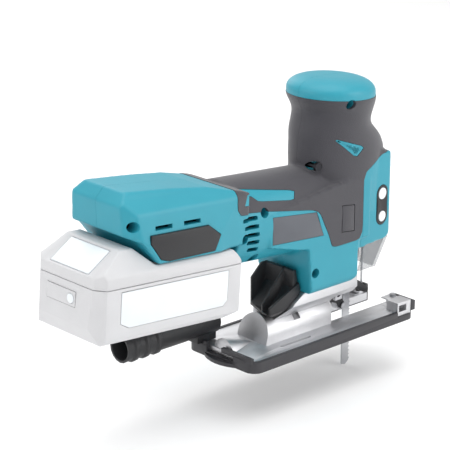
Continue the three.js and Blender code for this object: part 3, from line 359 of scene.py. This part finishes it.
def block_form(depth):
    side = [(BLOCK_BACK + 2.5, BLOCK_BOTTOM), (BLOCK_FRONT - 4, BLOCK_BOTTOM),
            (BLOCK_FRONT, BLOCK_BOTTOM + 4), (BLOCK_FRONT, 100), (BLOCK_BACK - 3, 100),
            (BLOCK_BACK - 0.5, 82)]
    section = both_sides([(FLANK_HALF - 3, BLOCK_BOTTOM), (FLANK_HALF, BLOCK_BOTTOM + 4), (FLANK_HALF, 104)])
    return common(prism(inset(side, depth), "y", -40, 40),
                  prism(inset(section, depth), "x", BLOCK_BACK - 10, BLOCK_FRONT + 10))


def nose_form(depth):
    side = [(BLOCK_FRONT - 30, NOSE_BOTTOM), (NOSE_FRONT - 8, NOSE_BOTTOM),
            (NOSE_FRONT - 1, NOSE_BOTTOM + 5), (NOSE_FRONT - 1, 142), (60, 146), (30, 146),
            (BLOCK_FRONT - 30, 112)]
    plan = [(0, 29), (COVER_BACK, 28), (71.5, 24.4), (76.5, 19), (76.5, -19), (71.5, -24.4),
            (COVER_BACK, -28), (0, -29)]
    return common(prism(inset(side, depth), "y", -40, 40),
                  prism(inset(plan, depth), "z", NOSE_BOTTOM - 10, 160))


# Height, centre, half length, half width and how far the ring leans with the rim.
NECK = ((100, 33.5, 42, 29.3, 0), (148, 33.5, 43.5, 30.6, 0), (155, 32, 41.5, 30.6, 0),
        (160, 30.3, 39.3, 30.4, 0.1), (164, 28.4, 37.2, 30.3, 0.2), (168, 27, 35, 30, 0.4),
        (172, 26.7, 33.4, 29.6, 0.6), (176, 27.3, 32.6, 29.6, 0.8), (180, 28.2, 32.6, 30, 0.9),
        (184, 28.5, 33.4, 30.9, 1), (188, 28, 34.8, 32.4, 1), (191.5, 27.2, 35.9, 33.7, 1),
        (RIM, NECK_X, 36.2, 34.2, 1), (198, NECK_X, 36.2, 34.2, 1))


def neck_form(depth):
    bm = bmesh.new()
    dome = [(198 + 11.1 * math.sin(t), NECK_X, 36.2 * math.cos(t) ** 0.6, 34.2 * math.cos(t) ** 0.6, 1)
            for t in (math.radians(a) for a in range(12, 90, 11))]
    rings = []
    for height, centre, long, wide, lean in [*NECK, *dome]:
        ring = []
        for a, b in circle(1, 72):
            x = centre + a * max(long - depth, 0.5)
            z = height - math.tan(PITCH) * (x - NECK_X) * lean - (depth if height > RIM else 0)
            ring.append(bm.verts.new(Vector((x, b * max(wide - depth, 0.5), z)) * MM))
        rings.append(ring)
    for low, high in zip(rings, rings[1:]):
        for i in range(len(low)):
            j = (i + 1) % len(low)
            bm.faces.new((low[i], low[j], high[j], high[i]))
    bm.faces.new(rings[0])
    bm.faces.new(rings[-1])
    return from_bmesh("neck", bm)


SUMP = (20, 47.07, 62.1, 23)
SUMP_NOSE = (20, 56, 62.1, 8)


def sump_form(sump, depth=0, top=90):
    back, front, floor_height, half = sump
    return prism(rectangle(back, -half + depth, front - depth, half - depth), "z",
                 floor_height + depth, top)


def body_form(depth):
    return union(rear_form(depth), barrel_form(depth), flank_form(depth), block_form(depth),
                 nose_form(depth), neck_form(depth))


body = soften(union(body_form(0), sump_form(SUMP), sump_form(SUMP_NOSE)), 1.25, 7)
under = soften(body_form(GRIP_DEPTH), 2.2, 3)
cavity = body_form(GRIP_DEPTH + WALL)

# ------------------------------------------------------------------ housing halves, grip and front cover
# Teal glass-filled nylon halves with a soft charcoal elastomer moulded over the neck, the barrel
# and the nose flanks, and a separate teal cover over the nose. The elastomer stands a little
# proud of the nylon, and the halves meet in a fine line along the top of the dome.

SKIN = 0.35
RIM_SLOPE = math.tan(PITCH)


def rim_at(x):
    return RIM - RIM_SLOPE * (x - NECK_X)


GRIP_EDGE = [(-105, 129.2), (-65, 123.6), (-22, 115.4), (-14.5, 112), (-4, 92), (0.8, 79.4),
             (COVER_BACK - 0.4, 79.4), (COVER_BACK - 0.4, 133.3), (61, 143.6)]
STRIPE = [(-95.9, 134.8), (-92.4, 143.8), (-34.6, 132.5), (-39.2, 126.3), (-74.3, 132.2),
          (-79.3, 136.8), (-86.8, 137.6), (-90.2, 133.9)]
TRIANGLE_VENT = [(4.5, 166), (34, 155.4), (25.1, 147.8)]
SCREWS = {"rear": (-203.5, 143, 22), "barrel_top": (-71.7, 123.7, 15), "barrel_rear": (-94.2, 108.3, 15),
          "barrel_low": (-75, 86.5, 11), "neck": (-4.8, 143.7, 16), "cap": (16.4, 192.2, 20),
          "gear_block": (-17.6, 62.6, 18)}
LOUVRES = [[(-97.5 + i * 2.4, 125 - i * 6.5), (-79.5 + i * 0.7, 123.6 - i * 6.5),
            (-79.5 + i * 0.7, 120.2 - i * 6.5), (-97.5 + i * 2.4, 121.6 - i * 6.5)] for i in range(5)]
RATING = [(-64, 118.2), (-17.4, 112.4), (-9.4, 92), (-64, 96.4)]
START_PAD = [(11, 90), (24.5, 88.5), (24.5, 109.5), (11, 111.5)]
TRIM = [(-111, 13.6), (-56, 13.6), (-44, 5), (-49, -6.4), (-93, -7.4), (-101, -5), (-111, 7.6)]


def through(outline, reach=60):
    return prism(outline, "y", -reach, reach)


def grip_zone(margin):
    edge = [(x, z) for x, z in GRIP_EDGE]
    outline = [(-103.5, 175), *edge, (95, 143.6), (95, rim_at(95)), (-40, rim_at(-40)), (-40, 175)]
    corners = eased(outline, 2, 0.12)
    return cut(through(inset(corners, margin)), through(inset(eased(STRIPE, 1, 0.1), -margin)),
               through(inset(eased(TRIANGLE_VENT, 1, 0.12), -margin)),
               through(inset(START_PAD, -0.4 - margin)))


def cover_zone(margin):
    return through(inset([(COVER_BACK, 55), (COVER_BACK, 133), (61.2, 143.2), (95, 143.2), (95, 55)],
                         margin))


def screw_hole(x, z, head):
    return union(prism(circle(4, 24, (x, z)), "y", -60, -head),
                 prism(circle(2.3, 16, (x, z)), "y", -head - 1, 12))


PANEL_TURN = math.atan2(3.6, 36.5)
PANEL_X, PANEL_HIGH, PANEL_LOW, PANEL_RADIUS = 61.5, 110, 91, 7
PANEL_FACE = NOSE_HALF - math.tan(PANEL_TURN) * (PANEL_X - COVER_BACK)
PANEL_FRAME = Matrix.Translation(Vector((PANEL_X, -PANEL_FACE, 0)) * MM) @ Matrix.Rotation(PANEL_TURN, 4, "Z")


def slot_outline(radius, low, high, sides=16):
    """An upright slot with round ends."""
    lower = [(radius * math.cos(math.pi + math.pi * i / sides), low + radius * math.sin(math.pi + math.pi * i / sides))
             for i in range(sides + 1)]
    upper = [(radius * math.cos(math.pi * i / sides), high + radius * math.sin(math.pi * i / sides))
             for i in range(sides + 1)]
    return lower + upper


outer_skin = twin(body)
outer_skin.modifiers.new("proud", "DISPLACE").strength = SKIN * MM
outer_skin.modifiers["proud"].mid_level = 0
settle(outer_skin)
under_solid = twin(under)

bosses = [common(twin(under), prism(circle(5.2, 20, (x, z)), "y", -60, 60)) for x, z, _ in SCREWS.values()]
rails = [prism([(side * 22, REAR_BOTTOM + 1.5), (side * 27.5, REAR_BOTTOM + 1.5), (side * 27.5, REAR_BOTTOM - 8.7),
                (side * 22, REAR_BOTTOM - 8.7)], "x", REAR_BACK + 35, REAR_BACK + 106, BARREL_FRAME)
         for side in (1, -1)]
shell = cut(twin(body), grip_zone(-0.15), cover_zone(-0.15))
shell = cut(union(shell, twin(under)), cavity)
shell = union(shell, *bosses, *rails)
shell = cut(
    shell,
    *[screw_hole(*screw) for screw in SCREWS.values()],
    prism(rectangle(-14.3, 43, 14.3, 59.8), "x", -10.3, 60),
    prism(rectangle(14, -20.5, 44.5, 20.5), "z", 64.7, 112),
    prism(rectangle(14, -5.6, 54, 5.6), "z", 64.7, 112),
    prism(circle(5.5, 28, (49, 0)), "z", 55, 90),
    *[through(eased(louvre, 1, 0.12)) for louvre in LOUVRES],
    *[prism(rectangle(low, 16.4, high, 19.6), "y", -60, 60, BARREL_FRAME)
      for low, high in ((-106, -90), (-79, -63))],
    through(inset(eased(TRIANGLE_VENT, 1, 0.12), 1.6)),
    prism(inset(RATING, -0.3), "y", -40, 0.9 - FLANK_HALF),
    *[prism(inset(START_PAD, -0.4), "y", *sorted((side * (FLANK_HALF - 3.9), side * 40))) for side in (1, -1)],
    *[prism(inset(TRIM, -0.4), "y", *sorted((side * (REAR_HALF - 2.2), side * 60)), BARREL_FRAME)
      for side in (1, -1)])
grip = cut(common(outer_skin, grip_zone(0.15)), twin(under),
           *[prism(circle(4, 24, (x, z)), "y", -60, 0) for x, z, _ in SCREWS.values()])
cover = cut(common(twin(body), cover_zone(0.15)), under_solid,
            prism(inset(slot_outline(PANEL_RADIUS, PANEL_LOW, PANEL_HIGH), -0.3), "y", -5, 1.9, PANEL_FRAME),
            sump_form(SUMP, -0.3, 92), sump_form(SUMP_NOSE, -0.3, 92),
            prism(rectangle(63, -7.3, 72, 7.3), "z", 60, 74))


def moulded(piece, name, finish, body_name, angle=38):
    """Names a piece, gives it its finish and a soft-edged shading, and lets it ride."""
    piece.name = piece.data.name = name
    piece.data.materials.clear()
    piece.data.materials.append(finish)
    for polygon in piece.data.polygons:
        polygon.material_index = 0
    piece.data.shade_smooth()
    piece.data.set_sharp_from_angle(angle=math.radians(angle))
    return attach(piece, body_name)


nylon = Finish("teal_nylon", Roughness=0.42, Coat_Weight=0.08, Coat_Roughness=0.35)
nylon_grain = nylon.noise(0.0009, 3)
nylon_patches = nylon.noise(0.03, 2)
nylon.drive(
    Base_Color=nylon.blend(nylon_patches, linear("1f8c9f"), linear("2596a9")),
    Roughness=nylon_patches * 0.06 + nylon_grain * 0.08 + 0.38,
    Normal=nylon.bump(nylon_grain, 0.28, 0.0003))
teal_nylon = nylon.material

rubber = Finish("charcoal_elastomer", Roughness=0.62, Specular_IOR_Level=0.42, Sheen_Weight=0.25,
                Sheen_Roughness=0.5)
rubber_grain = rubber.noise(0.0007, 2)
rubber_patches = rubber.noise(0.02, 3)
rubber.drive(
    Base_Color=rubber.blend(rubber_patches, linear("35343a"), linear("403f45")),
    Roughness=rubber_patches * 0.08 + rubber_grain * 0.12 + 0.5,
    Normal=rubber.bump(rubber_grain, 0.45, 0.0004))
charcoal_elastomer = rubber.material

for hand, side in (("right", -1), ("left", 1)):
    half = rectangle(-300, 20, 200, 260)
    span = (-80, -0.08) if side < 0 else (0.08, 80)
    piece = common(twin(shell), prism(half, "y", *span))
    moulded(piece, f"body_half_{hand}", teal_nylon, "body")
    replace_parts(piece, f"housing_{hand}")
    piece = common(twin(grip), prism(half, "y", *span))
    moulded(piece, f"soft_grip_{hand}", charcoal_elastomer, "body")
    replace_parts(piece, f"grip_{hand}")
moulded(cover, "nose_cover", teal_nylon, "body")
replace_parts(cover, "front_cover")
for spare in (body, under, shell, grip):
    bpy.data.objects.remove(spare)

# ------------------------------------------------------------------ hard pieces finished from their solids
# Castings, pressings and small mouldings keep the solid's shape and get broken edges, so that
# each edge catches the light, and the finish of their own material.


def finished(nodes, name, finish, body_name, edge=0.4, steps=2, angle=28, shade=35):
    """Copies solids, clears the flat faces' inner edges and rounds the sharp ones, edge in mm."""
    bm = bmesh.new()
    for solid in nodes:
        bm.from_mesh(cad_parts[solid].data)
    bmesh.ops.remove_doubles(bm, verts=bm.verts, dist=0.00001)
    bmesh.ops.dissolve_limit(bm, angle_limit=math.radians(1.2), verts=bm.verts, edges=bm.edges)
    bmesh.ops.recalc_face_normals(bm, faces=bm.faces)
    mesh = bpy.data.meshes.new(name)
    bm.to_mesh(mesh)
    bm.free()
    mesh.materials.clear()
    piece = shown(name, mesh)
    if edge:
        bevel = piece.modifiers.new("edge", "BEVEL")
        bevel.width, bevel.segments = edge * MM, steps
        bevel.limit_method, bevel.angle_limit = "ANGLE", math.radians(angle)
        bevel.use_clamp_overlap = True
        bevel.miter_outer = "MITER_ARC"
        settle(piece)
    moulded(piece, name, finish, body_name, shade)
    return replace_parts(piece, *nodes) and piece


def plastic(name, low, high, rough=0.5, grain=0.25, size=0.0008, **constants):
    """A moulded plastic with a fine grain and a little unevenness of colour."""
    made = Finish(name, Roughness=rough, **constants)
    fine, broad = made.noise(size, 3), made.noise(0.02, 3)
    made.drive(Base_Color=made.blend(broad, linear(low), linear(high)),
               Roughness=broad * 0.08 + fine * 0.1 + (rough - 0.09),
               Normal=made.bump(fine, grain, 0.0003))
    return made.material


def metal(name, low, high, rough, grain, size, stretch=None, **constants):
    """A metal whose roughness and tone vary along its grain."""
    made = Finish(name, Metallic=1.0, Roughness=rough, **constants)
    fine, broad = made.noise(size, 3, stretch), made.noise(0.015, 3)
    made.drive(Base_Color=made.blend(broad * 0.6 + fine * 0.4, linear(low), linear(high)),
               Roughness=fine * 0.14 + broad * 0.08 + (rough - 0.1),
               Normal=made.bump(fine, grain, 0.0002))
    return made.material


black_plastic = plastic("satin_black_plastic", "1b1b1d", "242427", 0.5)
cover_plastic = plastic("charcoal_base_plastic", "2b2a2e", "353438", 0.48)
blasted_aluminium = metal("blasted_aluminium", "b9b9bc", "dcdcde", 0.42, 0.5, 0.0006)
ground_steel = metal("ground_steel", "a5a6aa", "c9cacd", 0.28, 0.25, 0.0012, (1, 1, 9))
dark_steel = metal("blackened_steel", "2b2b2e", "3d3d41", 0.38, 0.2, 0.0008)
bronze = metal("sintered_bronze", "8a6a3a", "a8854c", 0.4, 0.3, 0.0005)
copper = metal("copper_winding", "9b5a32", "b9713f", 0.35, 0.4, 0.0008)
board_green = plastic("solder_mask", "15503c", "1c6149", 0.45)
pale_case = plastic("pale_case_plastic", "c4c4c6", "cdcdcf", 0.5)
pale_gloss = plastic("pale_gloss_plastic", "dfe4e8", "e9edf0", 0.35, 0.1)
plate_grey = plastic("printed_plate", "50535a", "5b5e65", 0.42, 0.12)
cell_wrap = plastic("cell_sleeve", "3b74a4", "4a86b8", 0.3, 0.05)

for solids, name, finish, slot, body_name, edge in (
        (["gear_housing"], "cast_housing", blasted_aluminium, "cast_aluminium", "body", 0.6),
        (["base_plate"], "guide_plate", blasted_aluminium, "cast_aluminium", "base", 0.5),
        (["base_cover"], "base_slide_cover", cover_plastic, "black_plastic", "base", 0.6),
        (["dust_pipe"], "dust_outlet", black_plastic, "black_plastic", "base", 0.3),
        (["dust_duct"], "dust_hood", black_plastic, "black_plastic", "body", 0.8),
        (["tool_opener"], "clamp_opener", black_plastic, "black_plastic", "opener", 0.3),
        (["roller_arm"], "orbit_arm", black_plastic, "black_plastic", "arm", 0.25),
        (["orbital_lever"], "orbit_switch", black_plastic, "black_plastic", "orbit_lever", 0.5),
        (["start_pad_right"], "start_key_cap_right", charcoal_elastomer, "soft_grip", "start_key_right", 0.7),
        (["start_pad_left"], "start_key_cap_left", charcoal_elastomer, "soft_grip", "start_key_left", 0.7),
        (["side_trim_right"], "side_badge_right", black_plastic, "black_plastic", "body", 0.5),
        (["side_trim_left"], "side_badge_left", black_plastic, "black_plastic", "body", 0.5),
        (["rating_plate"], "data_plate", plate_grey, "plate_grey", "body", 0.1),
        (["control_panel"], "switch_panel", black_plastic, "black_plastic", "body", 0.25),
        (["power_button"], "power_key_cap", pale_gloss, "pale_gloss", "power_key", 0.2),
        (["mode_window"], "mode_lens", pale_gloss, "pale_gloss", "body", 0.2),
        (["battery_case"], "battery_tray", pale_case, "pale_case", "battery", 1.8),
        (["battery_top"], "battery_lid", pale_case, "pale_case", "battery", 1.4),
        (["battery_latch"], "battery_button", pale_gloss, "pale_gloss", "latch", 0.8),
        (["battery_label_right"], "battery_panel_right", pale_gloss, "pale_gloss", "battery", 0.3),
        (["battery_label_left"], "battery_panel_left", pale_gloss, "pale_gloss", "battery", 0.3),
        (["gauge_panel"], "charge_gauge", pale_case, "pale_case", "battery", 0.2),
        (["check_button"], "charge_key", pale_gloss, "pale_gloss", "check_key", 0.2)):
    finished(solids, name, finish, body_name, edge)

for solid, finish in (
        ("slider_rod", ground_steel), ("clamp_collar", ground_steel), ("blade", ground_steel),
        ("guide_roller", ground_steel), ("roller_pin", ground_steel), ("wire_guard", ground_steel),
        ("fence_screw_right", ground_steel), ("fence_screw_left", ground_steel),
        ("motor_shaft", ground_steel), ("rear_bearing", ground_steel), ("front_bearing", ground_steel),
        ("gear_axle", ground_steel), ("drive_gear", ground_steel), ("clamp_bolt", dark_steel),
        ("rotor_core", dark_steel), ("stator", copper), ("lower_bush", bronze), ("upper_bush", bronze),
        ("bearing_plate", blasted_aluminium), ("cooling_fan", black_plastic),
        ("terminal_block", black_plastic), ("controller_board", board_green), ("cell_pack", cell_wrap),
        *[(f"housing_screw_{name}", dark_steel) for name in SCREWS]):
    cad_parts[solid].data.materials.clear()
    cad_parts[solid].data.materials.append(finish)

smoky = Finish("smoky_polycarbonate", Roughness=0.08, Alpha=0.35, Base_Color=linear("6b7076"))
for solid in ("dust_cover", "lamp_lens"):
    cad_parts[solid].data.materials.clear()
    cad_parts[solid].data.materials.append(smoky.material)
